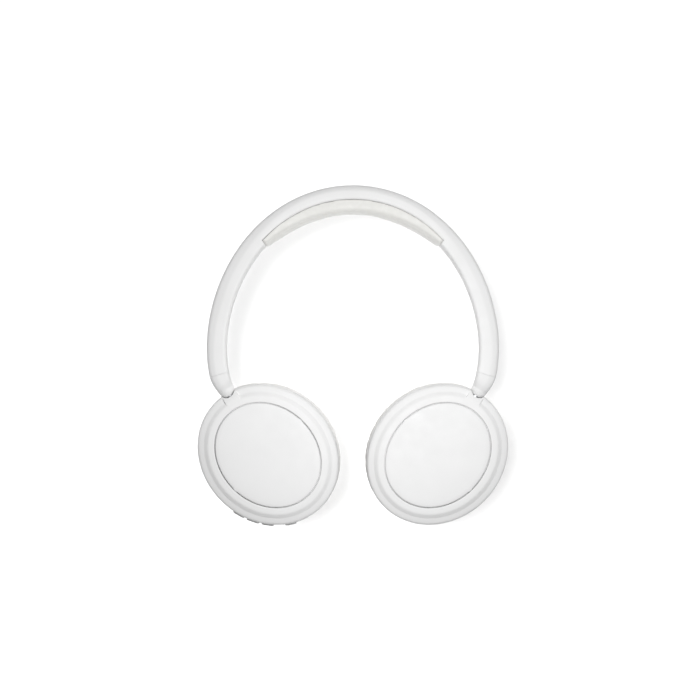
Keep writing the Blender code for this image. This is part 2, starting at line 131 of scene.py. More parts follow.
def volume_of(mesh):
    """Six times the signed volume: the sum of each triangle's box product."""
    mesh.calc_loop_triangles()
    points = np.empty(len(mesh.vertices) * 3)
    mesh.vertices.foreach_get("co", points)
    corners = np.empty(len(mesh.loop_triangles) * 3, dtype=np.int64)
    mesh.loop_triangles.foreach_get("vertices", corners)
    a, b, c = points.reshape(-1, 3)[corners.reshape(-1, 3)].transpose(1, 0, 2)
    return float((a * np.cross(b, c)).sum())


def smooth(made, degrees=32):
    """Smooth shading, with sharp edges where faces meet at more than an angle."""
    made.data.shade_smooth()
    made.data.set_sharp_from_angle(angle=np.radians(degrees))


def surface(name, grid, side=1, ring_of_rings=False):
    """A closed surface through a grid of points, in rings that each close on themselves.

    Each point is joined to the next in its ring and to its twin in the next ring.
    The last ring joins the first, or else the first and last rings are filled.
    """
    rows, columns = grid.shape[:2]
    index = np.arange(rows * columns).reshape(rows, columns)
    low = index if ring_of_rings else index[:-1]
    high = np.roll(index, -1, 0) if ring_of_rings else index[1:]
    quads = np.stack([low, np.roll(low, -1, 1), np.roll(high, -1, 1), high], -1)
    faces = quads.reshape(-1, 4).tolist()
    if not ring_of_rings:
        faces += [index[0][::-1].tolist(), index[-1].tolist()]
    mesh = bpy.data.meshes.new(name)
    mesh.from_pydata((grid * (side, 1, 1)).reshape(-1, 3) * MM, [], faces)
    if volume_of(mesh) < 0:
        mesh.flip_normals()
    made = link(name, mesh)
    smooth(made)
    return made


def applied(made):
    """Bake the modifiers into the mesh."""
    graph = bpy.context.evaluated_depsgraph_get()
    graph.update()
    mesh = bpy.data.meshes.new_from_object(made.evaluated_get(graph), depsgraph=graph)
    made.modifiers.clear()
    made.data = mesh
    mesh.name = made.name
    return made


def combine(target, tool, operation):
    """Join or cut one closed mesh with another, then drop the tool."""
    change = target.modifiers.new("combine", "BOOLEAN")
    change.operation = operation
    change.object = tool
    change.solver = "EXACT"
    applied(target)
    bpy.data.objects.remove(tool, do_unlink=True)
    smooth(target)


def joined(name, pieces):
    """One object from several, keeping each one's shape."""
    sizes = np.cumsum([0] + [len(p.data.vertices) for p in pieces])
    points = [np.array([v.co for v in p.data.vertices]) for p in pieces]
    faces = []
    for start, p in zip(sizes, pieces):
        faces += [[int(start) + v for v in face.vertices] for face in p.data.polygons]
    mesh = bpy.data.meshes.new(name)
    mesh.from_pydata(np.concatenate(points), [], faces)
    for p in pieces:
        bpy.data.objects.remove(p, do_unlink=True)
    made = link(name, mesh)
    smooth(made)
    return made


def rounded(corners, samples=6):
    """A closed outline with each corner (x, y, radius) eased by a parabola.

    The parabola starts and ends that far from the corner along its two sides, or
    just under halfway along a side that is too short.
    """
    points = np.array([c[:2] for c in corners], dtype=float)
    radii = np.array([c[2] for c in corners], dtype=float)
    back = np.roll(points, 1, 0) - points
    on = np.roll(points, -1, 0) - points
    back_length = np.linalg.norm(back, axis=1)
    on_length = np.linalg.norm(on, axis=1)
    start = points + back * (np.minimum(radii, 0.48 * back_length) / back_length)[:, None]
    end = points + on * (np.minimum(radii, 0.48 * on_length) / on_length)[:, None]
    t = np.linspace(0, 1, samples)[None, :, None]
    eased = start[:, None] * (1 - t) ** 2 + points[:, None] * 2 * t * (1 - t) + end[:, None] * t**2
    return eased.reshape(-1, 2)


def filled_in(outline, spacing):
    """The closed outline with extra points on its long sides, evenly spread."""
    following = np.roll(outline, -1, 0)
    made = []
    for a, b in zip(outline, following):
        count = max(1, int(np.ceil(np.linalg.norm(b - a) / spacing)))
        made.append(a + (b - a) * np.arange(count)[:, None] / count)
    return np.concatenate(made)


def flow(stations, count):
    """Rows of numbers eased smoothly through stations, whose first number is the place.

    Between two stations each number follows a cubic whose slopes are the mean slopes
    of the neighbouring stretches.
    """
    table = np.array(stations, dtype=float)
    place, values = table[:, 0], table[:, 1:]
    slopes = np.gradient(values, place, axis=0)
    at = np.linspace(place[0], place[-1], count)
    i = np.clip(np.searchsorted(place, at, side="right") - 1, 0, len(place) - 2)
    width = (place[i + 1] - place[i])[:, None]
    t = (at - place[i])[:, None] / width
    made = values[i] * (2 * t**3 - 3 * t**2 + 1) + values[i + 1] * (3 * t**2 - 2 * t**3)
    made += width * (slopes[i] * (t**3 - 2 * t**2 + t) + slopes[i + 1] * (t**3 - t**2))
    return at, made


# --- Cup geometry --------------------------------------------------------------


def oval(long_radius, short_radius, z, turns):
    """Points of an ellipse about the cup's centre: long radius times the cosine along
    the long axis, short radius times the sine along the short one."""
    long_part = np.multiply.outer(long_radius * np.cos(turns), LONG)
    short_part = np.multiply.outer(short_radius * np.sin(turns), SHORT)
    return CUP + long_part + short_part + UP * z


def cup_rings(profile, steps=240):
    """One ring for each (spread, z) of a profile."""
    turns = np.linspace(0, 2 * np.pi, steps, endpoint=False)
    rings = [oval(CAP_LONG + s, CAP_SHORT + s, z, turns) for s, z in profile]
    return np.array(rings)


def cup_side(degrees, spread, z):
    """Points on the cup's side, in the directions of angles from the long axis."""
    turn = np.radians(degrees)
    long_radius, short_radius = CAP_LONG + spread, CAP_SHORT + spread
    reach = long_radius * short_radius
    reach = reach / np.hypot(short_radius * np.cos(turn), long_radius * np.sin(turn))
    flat = (reach * np.cos(turn))[..., None] * LONG + (reach * np.sin(turn))[..., None] * SHORT
    return CUP + flat + np.asarray(z)[..., None] * UP


def cup_normal(degrees):
    """The level direction straight out of the cup's side at an angle."""
    near, far = cup_side(np.array([degrees - 1, degrees + 1]), np.full(2, 10.0), np.zeros(2))
    out = np.cross(near - far, UP)
    return out / np.linalg.norm(out)


def tube(start, axis, stations, across=None, squeeze=1.0, steps=32):
    """Rings of a turned rod: (distance, radius) stations along an axis."""
    axis = axis / np.linalg.norm(axis)
    if across is None:
        across = np.cross(axis, UP) if abs(axis[2]) < 0.9 else np.array((1.0, 0, 0))
    across = across / np.linalg.norm(across)
    other = np.cross(axis, across)
    turn = np.linspace(0, 2 * np.pi, steps, endpoint=False)[:, None]
    spokes = across * np.cos(turn) + other * np.sin(turn) * squeeze
    return np.array([start + axis * d + spokes * r for d, r in stations])


def on_stem(distance, sideways=0.0, rise=0.0):
    """A point on the stem's axis at a distance from the cup's centre."""
    return CUP + STEM * distance + STEM_SIDE * sideways + UP * (STEM_Z + rise)


# --- Headband geometry ---------------------------------------------------------


def band_points(angles, inward, rise):
    """Points inside the band's outer line. Its radius is an even polynomial in the
    angle from the crown, and each point lies that far inward along the radius."""
    angles = np.asarray(angles)
    radius = sum(term * angles ** (2 * n) for n, term in enumerate(BAND_RADIUS)) - inward
    level = np.broadcast_to(STEM_Z + rise, radius.shape)
    return np.stack([radius * np.sin(angles), BAND_Y + radius * np.cos(angles), level], -1)


def band_width(angle):
    """Half the band's width, eased from the crown to the arms."""
    share = min(abs(angle) / SEAM, 1)
    return CROWN_WIDTH + (ARM_WIDTH - CROWN_WIDTH) * share * share * (3 - 2 * share)


def band_depth(angle):
    """Radial thickness of the band, which steps down over a third of a degree."""
    share = np.clip((abs(angle) - CUSHION_END) / np.radians(0.35) + 0.5, 0, 1)
    return CROWN_DEPTH + (ARM_DEPTH - CROWN_DEPTH) * share


def band_angles(limit, count):
    """Even stations, with more where the band's depth steps."""
    even = np.linspace(-limit, limit, count)
    near = np.radians([-0.3, -0.16, -0.08, 0, 0.08, 0.16, 0.3])
    steps = np.concatenate([near - CUSHION_END, near + CUSHION_END])
    clear = np.abs(np.abs(even) - CUSHION_END) > np.radians(0.4)
    return np.sort(np.concatenate([even[clear], steps]))


def swept(angles, section):
    """Rings of a section of (inward, rise) carried round the band."""
    rings = []
    for angle in angles:
        outline = section(angle)
        rings.append(band_points(np.full(len(outline), angle), outline[:, 0], outline[:, 1]))
    return np.array(rings)


def ease(value, start, stop):
    """Zero up to the start, one from the stop, and smooth between."""
    share = np.clip((value - start) / (stop - start), 0, 1)
    return share * share * (3 - 2 * share)


def ridge_depth(angle):
    """How far the soft ridge lies inside the outer line: furthest in on the arms."""
    turn = abs(np.degrees(angle))
    return 3.5 + 1.9 * ease(turn, 15, 62) - 1.2 * ease(turn, 72, 100)


def shell_section(angle):
    """The band's C-shaped section: crowned outside, a soft ridge, a flat side."""
    depth, width, ridge = band_depth(angle), band_width(angle), ridge_depth(angle)
    outside = [
        (depth, width - 0.9, 0.5),
        (depth - 0.9, width, 0.9),
        (ridge, width, 0.9),
        (1.3, 0.88 * width, 1.0),
        (0.25, 0.62 * width, 1.6),
        (0.0, 0.0, 3.0),
    ]
    outside += [(d, -r, e) for d, r, e in reversed(outside[:-1])]
    inside = [
        (depth, -(width - WALL), 0.15),
        (5.5, -(width - WALL), 0.8),
        (WALL + 1.1, -0.62 * width, 1.5),
        (WALL + 0.1, 0.0, 2.0),
    ]
    inside += [(d, -r, e) for d, r, e in reversed(inside[:-1])]
    return rounded(outside + inside)


# --- Hard pieces ---------------------------------------------------------------


def headband_shell():
    """The outer shell of the headband."""
    grid = swept(band_angles(SEAM, 300), shell_section)
    return surface("headband_shell_moulding", grid)


def headband_liner():
    """The inner cover of the channel, with eased edges."""

    def section(angle):
        far, half = band_depth(angle), band_width(angle) - WALL - 0.12
        corners = [(far - 1.5, half), (far - 1.5, -half), (far, -half), (far, half)]
        return rounded([(d, r, 0.15) for d, r in corners], 4)

    return surface("headband_liner_strip", swept(band_angles(SEAM, 260), section))


def arm_outline(count=96):
    """The arm's section as (outward, rise) at even angles about its middle."""
    half, width, ridge = ARM_DEPTH / 2, ARM_WIDTH, ridge_depth(SEAM)
    upper = [
        (-half, width - 0.9, 0.5),
        (0.9 - half, width, 0.9),
        (half - ridge, width, 0.9),
        (half - 1.3, 0.88 * width, 1.0),
        (half - 0.25, 0.62 * width, 1.6),
        (half, 0.0, 3.0),
    ]
    outline = filled_in(rounded(upper + [(x, -z, e) for x, z, e in reversed(upper[:-1])]), 0.3)
    turn = np.arctan2(outline[:, 1], outline[:, 0])
    reach = np.hypot(outline[:, 0], outline[:, 1])
    order = np.argsort(turn)
    even = np.linspace(-np.pi, np.pi, count, endpoint=False)
    reach = np.interp(even, turn[order], reach[order], period=2 * np.pi)
    return even, np.stack([reach * np.cos(even), reach * np.sin(even)], -1)


def arm_end(name, side):
    """The end of the arm: from the band's section at the seam to a round tip.

    Its middle follows a cubic curve from the seam to the middle of a ball, and each
    ring mixes the arm's outline with a circle. The last rings are slices of the ball.
    """
    start = band_points(SEAM + SEAM_GAP / 82, ARM_DEPTH / 2, 0.0)
    finish = on_stem(TIP_AT)
    reach = np.linalg.norm(start - finish) / 3
    turn = SEAM - np.pi / 2
    leave = np.array((-np.sin(turn), -np.cos(turn), 0))
    handles = np.array([start, start + leave * reach, finish + STEM * reach, finish])
    stations = (
        # share of the way, half thickness, half width, roundness
        (0.00, 5.50, 7.00, 0.00),
        (0.25, 5.40, 6.85, 0.08),
        (0.50, 5.20, 6.50, 0.22),
        (0.70, 5.00, 6.00, 0.42),
        (0.86, 4.80, 5.30, 0.70),
        (1.00, 4.60, 4.65, 1.00),
    )
    share, shape = flow(stations, 48)
    turns, outline = arm_outline()
    circle = np.stack([np.cos(turns), np.sin(turns)], -1)
    rest = 1 - share[:, None]
    t = share[:, None]
    centre = handles[0] * rest**3 + handles[1] * 3 * rest**2 * t
    centre = centre + handles[2] * 3 * rest * t**2 + handles[3] * t**3
    forward = np.gradient(centre, axis=0)
    outward = np.cross(forward, UP)
    outward *= np.sign(outward[:, :1]) / np.linalg.norm(outward, axis=1)[:, None]
    rings = []
    for middle_point, out, (thick, width, round_share) in zip(centre, outward, shape):
        flat = outline * (thick / (ARM_DEPTH / 2), width / ARM_WIDTH)
        mixed = flat * (1 - round_share) + circle * (thick, width) * round_share
        rings.append(middle_point + mixed[:, :1] * out + mixed[:, 1:] * UP)
    for slice_turn in np.linspace(0, np.pi / 2, 20)[1:-1]:
        radius = TIP_RADIUS * np.cos(slice_turn)
        slice_middle = finish - STEM * TIP_RADIUS * np.sin(slice_turn)
        spokes = circle[:, :1] * STEM_SIDE + circle[:, 1:] * UP
        rings.append(slice_middle + radius * spokes)
    made = surface(name + "_arm_end_cap", np.array(rings), side)

    pin = on_stem(TILT_AT)
    cuts = (
        tube(on_stem(TIP_AT - 6), STEM, ((0, 2.4), (TILT_AT - TIP_AT + 6, 2.4))),
        tube(pin - UP * 3.0, UP, ((0, 3.3), (6.0, 3.3))),
        tube(pin - UP * 4.5, UP, ((0, 1.1), (9.0, 1.1))),
    )
    for rings in cuts:
        combine(made, surface("hollow", rings, side), "DIFFERENCE")
    low = np.array((SLIDER_X - 1.0, -14.3, STEM_Z - 4.3))
    box = rounded([(0, 0, 0.3), (2.0, 0, 0.3), (2.0, 8.6, 0.3), (0, 8.6, 0.3)])
    slot = [low + np.stack([box[:, 0], np.full(len(box), y), box[:, 1]], -1) for y in (0, 24.0)]
    combine(made, surface("slot", np.array(slot), side), "DIFFERENCE")
    return made


def neck_rings():
    """The neck that carries the stem: a bar with eased edges at the rim's level."""
    rings = []
    levels = ((33.2, 0.0), (36.0, 0.0), (37.5, 0.2), (40.2, 1.5))
    for distance, drop in levels:
        top = NECK_TOP - drop
        half = NECK_HALF_WIDTH
        corners = [(-half, -5.2, 0.8), (half, -5.2, 0.8), (half, top, 0.8), (-half, top, 0.8)]
        outline = rounded(corners, 7)
        rings.append(on_stem(distance) + outline[:, :1] * STEM_SIDE + outline[:, 1:] * UP)
    return np.array(rings)


def notch_rings():
    """The round hollow in the cup that the ball tip turns in."""
    slices = np.linspace(np.pi / 2, 0, 18)[1:]
    stations = [(NOTCH_RADIUS * (1 - np.sin(a)), NOTCH_RADIUS * np.cos(a)) for a in slices]
    stations.append((NOTCH_RADIUS + 2.5, NOTCH_RADIUS))
    return tube(on_stem(TIP_AT - NOTCH_RADIUS), STEM, stations, steps=72)


def cup_shell(name, side):
    """The cup's housing, with its raised rim, sloping wall, groove and flange."""
    corners = (
        (0.35, CAP_TOP - 0.45, 0.45),
        (4.0, CAP_TOP - 0.7, 0.8),
        (6.2, 33.7, 0.5),
        (6.7, 33.58, 0.4),
        (9.5, 32.75, 1.0),
        (10.2, 30.8, 1.6),
        (10.2, 17.3, 0.35),
        (8.3, 17.3, 0.2),
        (8.3, 29.9, 0.8),
        (7.2, 31.1, 0.6),
        (4.6, 31.9, 0.5),
        (2.8, 32.3, 0.3),
        (-2.4, 32.3, 0.2),
        (-2.4, 33.2, 0.2),
        (0.35, 33.2, 0.2),
    )
    profile = filled_in(rounded(corners), 0.9)
    made = surface(name + "_cup_moulding", cup_rings(profile, 300), side, True)
    combine(made, surface("neck", neck_rings(), side), "UNION")
    combine(made, surface("notch", notch_rings(), side), "DIFFERENCE")
    clear = TIP_RADIUS + TIP_GAP
    above = tube(on_stem(TIP_AT), UP, ((0, clear), (9, clear)), steps=72)
    combine(made, surface("above_tip", above, side), "DIFFERENCE")
    bore = tube(on_stem(28), STEM, ((0, BORE_RADIUS), (14, BORE_RADIUS)))
    combine(made, surface("bore", bore, side), "DIFFERENCE")
    if side < 0:
        for first, last in BUTTONS.values():
            window = surface("window", button_rings(first, last, 6.6, 12.0, 0.3), side)
            combine(made, window, "DIFFERENCE")
        mouth = socket_rings(6.2, 11.8, 4.85, 1.95)
        combine(made, surface("mouth", mouth, side), "DIFFERENCE")
        for angle, radius in ((LIGHT_ANGLE, 0.85), (MICROPHONE_ANGLE, 0.6)):
            start = cup_side(np.array(angle), 6.5, BUTTON_Z)
            hole = tube(start, cup_normal(angle), ((0, radius), (5, radius)))
            combine(made, surface("hole", hole, side), "DIFFERENCE")
    return made


def button_rings(first, last, inner, outer, spare=0.0):
    """Rings of a rounded oblong that stands out of the cup's side."""
    middle_angle = (first + last) / 2
    per_degree = np.radians(1) * 40
    half = (last - first) / 2 * per_degree + spare
    height = 1.9 + spare
    rings = []
    eased = ((inner, 0), (outer - 0.45, 0), (outer - 0.2, 0.12), (outer - 0.06, 0.3), (outer, 0.6))
    for spread, inset in ((inner, 0), (outer, 0)) if spare else eased:
        a, b = half - inset, height - inset
        outline = rounded([(-a, -b, 1.3), (a, -b, 1.3), (a, b, 1.3), (-a, b, 1.3)], 8)
        angles = middle_angle + outline[:, 0] / per_degree
        spreads = np.full(len(angles), float(spread))
        rings.append(cup_side(angles, spreads, BUTTON_Z + outline[:, 1]))
    return np.array(rings)


def socket_rings(inner, outer, half, height):
    """Rings of a stadium-shaped prism that stands out of the cup's side."""
    normal = cup_normal(SOCKET_ANGLE)
    along = np.cross(UP, normal)
    base = cup_side(np.array(SOCKET_ANGLE), 10.2, BUTTON_Z)
    corners = [(-half, -height), (half, -height), (half, height), (-half, height)]
    outline = rounded([(x, z, height) for x, z in corners], 9)
    flat = outline[:, :1] * along + outline[:, 1:] * UP
    return np.array([base + normal * (d - 10.2) + flat for d in (inner, outer)])


def charging_socket():
    """The socket's metal shell with its tongue."""
    outer = socket_rings(3.7, 9.9, 4.5, 1.6)
    inner = socket_rings(4.7, 9.9, 4.15, 1.25)
    grid = np.array([outer[0], outer[1], inner[1], inner[0]])
    can = surface("socket_can", grid, -1)
    tongue = surface("socket_tongue", socket_rings(4.3, 9.3, 3.3, 0.35), -1)
    return joined("left_charging_socket_shell", [can, tongue])


def cup_cap(name, side):
    """The cap: a very shallow dome with an eased edge and two locating lugs.

    The top falls with the fourth power of the distance from the middle. The edge
    swells by a narrow bell curve at each end of the short axis.
    """
    turns = np.linspace(0, 2 * np.pi, 320, endpoint=False)
    lug = 0.40 * np.exp(-(((np.abs(np.sin(turns)) - 1) / 0.0009) ** 2))
    rings = []
    edge = -0.15
    for share in np.concatenate([[0.004], np.linspace(0.06, 0.96, 16)]):
        z = CAP_TOP - 0.42 * share**4
        rings.append(oval((CAP_LONG + edge) * share, (CAP_SHORT + edge) * share, z, turns))
    rounding = ((0.75, -0.44), (0.45, -0.5), (0.2, -0.62), (0.06, -0.82))
    for inset, z in rounding + ((0.0, -1.1), (0.0, -2.5)):
        spread = edge - inset + lug * (1 - inset)
        rings.append(oval(CAP_LONG + spread, CAP_SHORT + spread, CAP_TOP + z, turns))
    rings.append(oval((CAP_LONG + edge) * 0.9, (CAP_SHORT + edge) * 0.9, CAP_TOP - 2.5, turns))
    return surface(name + "_cap_disc", np.array(rings), side)


def pad_ring(name, side):
    """The hard ring between the pad and the cup."""
    corners = [(-4.4, 15.9), (9.3, 15.9), (9.3, 17.0), (-4.4, 17.0)]
    profile = rounded([(s, z, 0.3) for s, z in corners], 4)
    return surface(name + "_pad_clip_ring", cup_rings(profile, 160), side, True)


def driver_cover(name, side):
    """The cloth disc over the driver, which bellies very slightly towards the ear."""
    turns = np.linspace(0, 2 * np.pi, 160, endpoint=False)
    rings = []
    for share in (0.01, 0.3, 0.6, 0.85, 0.97):
        z = 15.9 - 0.35 * (1 - share**2)
        rings.append(oval((CAP_LONG - 4.8) * share, (CAP_SHORT - 4.8) * share, z, turns))
    for share, z in ((1.0, 16.0), (1.0, 16.5), (0.97, 16.6), (0.01, 16.6)):
        rings.append(oval((CAP_LONG - 4.8) * share, (CAP_SHORT - 4.8) * share, z, turns))
    return surface(name + "_driver_cloth", np.array(rings), side)


def button(label, first, last):
    """One push button."""
    return surface(f"left_{label}_cap", button_rings(first, last, 7.0, BUTTON_OUT), -1)


# --- Soft pieces ---------------------------------------------------------------


def inflate(made, pressure, most, held, voxel=0.0025):
    """Swell a closed mesh like a stuffed cover.

    The mesh is rebuilt in even cells, cloth pressure pushes it out over twenty
    frames, no point moves further than the limit, and held points move less.
    """
    remesh = made.modifiers.new("even", "REMESH")
    remesh.mode = "VOXEL"
    remesh.voxel_size = voxel
    applied(made)
    count = len(made.data.vertices)
    before = np.empty(count * 3)
    made.data.vertices.foreach_get("co", before)
    before = before.reshape(-1, 3)
    loose = 1 - held(before / MM)
    cloth = made.modifiers.new("cover", "CLOTH")
    cloth.settings.quality = 6
    cloth.settings.mass = 0.2
    cloth.settings.tension_stiffness = 20
    cloth.settings.compression_stiffness = 20
    cloth.settings.bending_stiffness = 0.4
    cloth.settings.use_pressure = True
    cloth.settings.uniform_pressure_force = pressure
    cloth.settings.effector_weights.gravity = 0
    cloth.point_cache.frame_start = 1
    cloth.point_cache.frame_end = 20
    for number in range(1, 21):
        bpy.context.scene.frame_set(number)
    applied(made)
    bpy.context.scene.frame_set(1)
    after = np.empty(count * 3)
    made.data.vertices.foreach_get("co", after)
    moved = after.reshape(-1, 3) - before
    length = np.linalg.norm(moved, axis=1, keepdims=True)
    moved *= np.minimum(1, most / np.maximum(length, 1e-9)) * loose[:, None]
    made.data.vertices.foreach_set("co", (before + moved).ravel())
    finer = made.modifiers.new("finer", "SUBSURF")
    finer.levels = 2
    finer.render_levels = 2
    return applied(made)


def reshape(made, change):
    """Move every point of a mesh by a function of all its points, in millimetres."""
    count = len(made.data.vertices)
    points = np.empty(count * 3)
    made.data.vertices.foreach_get("co", points)
    normals = np.empty(count * 3)
    made.data.vertex_normals.foreach_get("vector", normals)
    moved = change(points.reshape(-1, 3) / MM, normals.reshape(-1, 3))
    made.data.vertices.foreach_set("co", (moved * MM).ravel())
    made.data.update()


def bell(x, width):
    """A bell curve of height one."""
    return np.exp(-((x / width) ** 2))


def ear_pad(name, side):
    """The ear pad: a swollen ring with seams, small puckers and a flat base.

    A groove runs round the outside and round the ear opening, and puckers cross the
    outer seam as a sum of sines of the angle round the cup.
    """
    corners = (
        (-3.4, 0.3, 1.8),
        (7.0, 0.3, 2.0),
        (10.2, 2.2, 2.0),
        (11.0, 6.8, 2.5),
        (10.8, 12.4, 2.0),
        (8.7, 15.4, 0.8),
        (-4.3, 15.4, 0.8),
        (-6.4, 12.0, 2.0),
        (-6.8, 6.5, 2.5),
        (-5.6, 1.6, 2.0),
    )
    made = surface(name + "_ear_pad_cushion", cup_rings(rounded(corners), 120), 1, True)
    inflate(made, 3.0, 0.0011, lambda p: np.clip((p[:, 2] - 13.0) / 2.0, 0, 1))

    def sew(points, normals):
        across = points - CUP
        a, b = across @ LONG, across @ SHORT
        turn = np.arctan2(b / CAP_SHORT, a / CAP_LONG)
        spread = (np.hypot(a / CAP_LONG, b / CAP_SHORT) - 1) * (CAP_LONG + CAP_SHORT) / 2
        z = points[:, 2]
        outer = np.clip((spread - 6) / 2, 0, 1)
        inner = np.clip((-2 - spread) / 2, 0, 1)
        wave = np.sin(37 * turn + 0.8) + 0.7 * np.sin(61 * turn + 2.1)
        wave = wave + 0.6 * np.sin(23 * turn + 4.0)
        wave += 0.8 * np.sin(11 * turn + 1.3)
        in_groove = 0.55 * bell(z - 12.4, 0.7) * outer + 0.45 * bell(z - 2.4, 0.7) * inner
        pucker = 0.13 * wave * (bell(z - 12.4, 3.2) + 0.6 * bell(z - 5.0, 3.5)) * outer
        pucker += 0.10 * wave * bell(z - 3.0, 2.5) * inner
        moved = points + normals * (pucker - in_groove)[:, None]
        moved[:, 2] = np.clip(moved[:, 2], 0.0, 15.55)
        return moved

    reshape(made, sew)
    if side < 0:
        reshape(made, lambda points, normals: points * (-1, 1, 1))
        made.data.flip_normals()
    smooth(made, 60)
    return made


def pad_stitches(name, side):
    """A row of short stitches round the ear opening.

    Each stitch is a tiny capsule laid along the cup's oval.
    """
    spread, z, stitches = -6.6, 2.9, 96
    turns = np.linspace(0, 2 * np.pi, 6, endpoint=False)
    middles = (np.arange(stitches) + 0.5) / stitches * 2 * np.pi
    centres = oval(CAP_LONG + spread, CAP_SHORT + spread, z, middles)
    ahead = oval(CAP_LONG + spread, CAP_SHORT + spread, z, middles + 0.01) - centres
    ahead /= np.linalg.norm(ahead, axis=1)[:, None]
    out = np.cross(ahead, UP)
    spokes = np.cos(turns)[None, :, None] * out[:, None] + np.sin(turns)[None, :, None] * UP
    ends = ((-0.62, 0.04), (-0.5, 0.13), (0.0, 0.17), (0.5, 0.13), (0.62, 0.04))
    rings = [centres[:, None] + ahead[:, None] * d + spokes * r for d, r in ends]
    grid = np.array(rings).transpose(1, 0, 2, 3)
    count, rows_each, columns = grid.shape[:3]
    index = np.arange(rows_each * columns).reshape(rows_each, columns)
    low, high = index[:-1], index[1:]
    quads = np.stack([low, np.roll(low, -1, 1), np.roll(high, -1, 1), high], -1).reshape(-1, 4)
    faces = []
    for start in range(0, count * rows_each * columns, rows_each * columns):
        faces += (quads + start).tolist()
        faces.append((index[0][::-1] + start).tolist())
        faces.append((index[-1] + start).tolist())
    mesh = bpy.data.meshes.new(name + "_pad_stitches")
    mesh.from_pydata((grid * (side, 1, 1)).reshape(-1, 3) * MM, [], faces)
    if volume_of(mesh) < 0:
        mesh.flip_normals()
    made = link(name + "_pad_stitches", mesh)
    smooth(made, 80)
    return made


def headband_cushion():
    """The crown cushion: thickest at the crown, with a seam along each edge.

    Its depth falls with the square of the angle from the crown.
    """
    limit = CUSHION_END + np.radians(0.2)

    def section(angle):
        sag = 7.4 + (3.9 - 7.4) * (angle / limit) ** 2
        near, width = CROWN_DEPTH - 0.1, 11.6
        corners = [
            (near, width, 0.3),
            (near + 0.72 * sag, width, 1.2),
            (near + 0.95 * sag, 0.86 * width, 1.6),
            (near + sag, 0.0, 4.0),
        ]
        corners += [(d, -r, e) for d, r, e in reversed(corners[:-1])]
        return rounded(corners)

    made = surface("headband_cushion_pad", swept(np.linspace(-limit, limit, 90), section))

    def held(points):
        radius = np.hypot(points[:, 0], points[:, 1] - BAND_Y)
        angle = np.arctan2(points[:, 0], points[:, 1] - BAND_Y)
        outer = sum(term * angle ** (2 * n) for n, term in enumerate(BAND_RADIUS))
        return np.clip((radius - (outer - CROWN_DEPTH - 2.2)) / 1.2, 0, 1)

    inflate(made, 3.0, 0.0005, held, 0.0016)

    def sew(points, normals):
        angle = np.arctan2(points[:, 0], points[:, 1] - BAND_Y)
        outer = sum(term * angle ** (2 * n) for n, term in enumerate(BAND_RADIUS))
        depth = outer - np.hypot(points[:, 0], points[:, 1] - BAND_Y)
        rise = np.abs(points[:, 2] - STEM_Z)
        inner = np.clip((depth - CROWN_DEPTH - 2.0) / 1.0, 0, 1)
        wave = np.sin(95 * angle + 0.5) + 0.8 * np.sin(61 * angle + 2.0)
        near = np.clip(depth - CROWN_DEPTH - 0.15, 0, 1.5)
        radial = points - np.array((0, BAND_Y, STEM_Z))
        radial[:, 2] = 0
        radial /= np.linalg.norm(radial, axis=1)[:, None]
        points = points + radial * (near - near**2 / 1.5)[:, None]
        groove = 0.3 * bell(rise - 9.8, 0.5) * inner * ease(rise, 8.5, 9.2)
        return points + normals * (0.05 * wave * bell(rise - 9.5, 2.5) * inner - groove)[:, None]

    reshape(made, sew)
    smooth(made, 60)
    return made


# --- Materials -----------------------------------------------------------------


